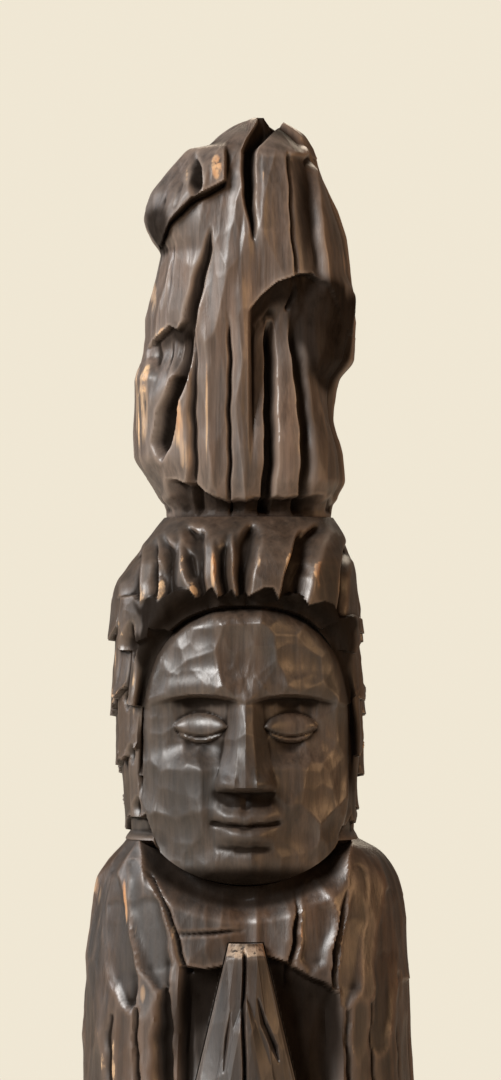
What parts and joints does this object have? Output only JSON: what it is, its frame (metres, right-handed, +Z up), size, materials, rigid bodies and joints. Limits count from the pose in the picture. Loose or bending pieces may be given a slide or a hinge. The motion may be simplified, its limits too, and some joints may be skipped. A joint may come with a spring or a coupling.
{
  "type": "carved wooden figure",
  "caption": "Standing carved wooden figure with joined hands, a band of cut hair locks and a tall topknot, doweled together and screwed to a plinth, for display.",
  "frame": {"origin": "centre of the plinth's underside, on the surface that the figure stands on", "axes": "+Z up along the figure, -Y the way the face and hands point, +X the viewer's right when facing it"},
  "size_m": [0.14, 0.124, 0.486],
  "materials": {
    "plinth_wood": "dark stain, waxed, sawn and planed",
    "robe_wood": "dark stain, waxed over chisel facets, worn at the ridges",
    "head_wood": "dark stain, waxed over chisel facets, worn at the ridges",
    "topknot_wood": "dark stain, waxed over deep gouge flutes, worn at the ridges",
    "hands_wood": "dark stain, waxed, end grain showing at the finger tips",
    "dowel_wood": "bare turned hardwood",
    "screw_steel": "zinc-dull countersunk wood screw"
  },
  "bodies": {
    "root": {"plinth": "plinth_wood", "robe_block": "robe_wood", "head_block": "head_wood", "topknot_block": "topknot_wood", "joined_hands": "hands_wood", "plinth_dowel": "dowel_wood", "neck_dowel": "dowel_wood", "neck_pin": "dowel_wood", "topknot_dowel": "dowel_wood", "topknot_pin": "dowel_wood", "hands_dowels": "dowel_wood", "plinth_screws": "screw_steel"}
  },
  "joints": []
}
